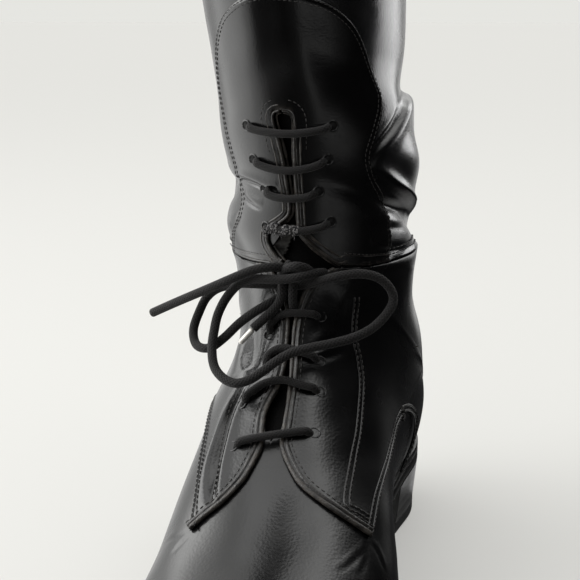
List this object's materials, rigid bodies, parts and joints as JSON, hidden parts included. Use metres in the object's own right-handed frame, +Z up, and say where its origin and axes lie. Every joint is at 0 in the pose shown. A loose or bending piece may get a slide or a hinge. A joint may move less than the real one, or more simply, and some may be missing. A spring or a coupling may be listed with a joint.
{
  "type": "riding boot",
  "caption": "Tall black leather riding boot, laced over the instep and lower leg with a round lace tied in a bow; low stacked heel, rounded toe, plain leg open at the collar.",
  "frame": {"origin": "middle of the boot's footprint box, on the floor, measured without the bow", "axes": "+Z up the leg, -Y toward the toe, +X toward the medial side"},
  "size_m": [0.1314, 0.2852, 0.472],
  "materials": {
    "black_leather": "polished",
    "facing_leather": "polished, worn at the edges",
    "tongue_leather": "matte",
    "sole_edge": "satin",
    "heel_rubber": "matte",
    "insole_leather": "matte",
    "lace_cord": "waxed cord",
    "lace_tip_metal": "satin"
  },
  "bodies": {
    "root": {"upper": "black_leather", "shaft": "black_leather", "tongue": "tongue_leather", "facing_medial": "facing_leather", "facing_lateral": "facing_leather", "shaft_facing": "facing_leather", "outsole": "sole_edge", "heel_block": "sole_edge", "heel_top_piece": "heel_rubber", "insole": "insole_leather", "lace_bar_leg_1": "lace_cord", "lace_bar_leg_2": "lace_cord", "lace_bar_leg_3": "lace_cord", "lace_bar_leg_4": "lace_cord", "lace_bar_foot_1": "lace_cord", "lace_bar_foot_2": "lace_cord", "lace_bar_foot_3": "lace_cord", "lace_bar_foot_4": "lace_cord", "lace_knot": "lace_cord", "lace_knot_drop": "lace_cord", "lace_loop_long": "lace_cord", "lace_loop_short": "lace_cord", "lace_end_plain": "lace_cord", "lace_end_tipped": "lace_cord", "lace_tip": "lace_tip_metal"}
  },
  "joints": []
}
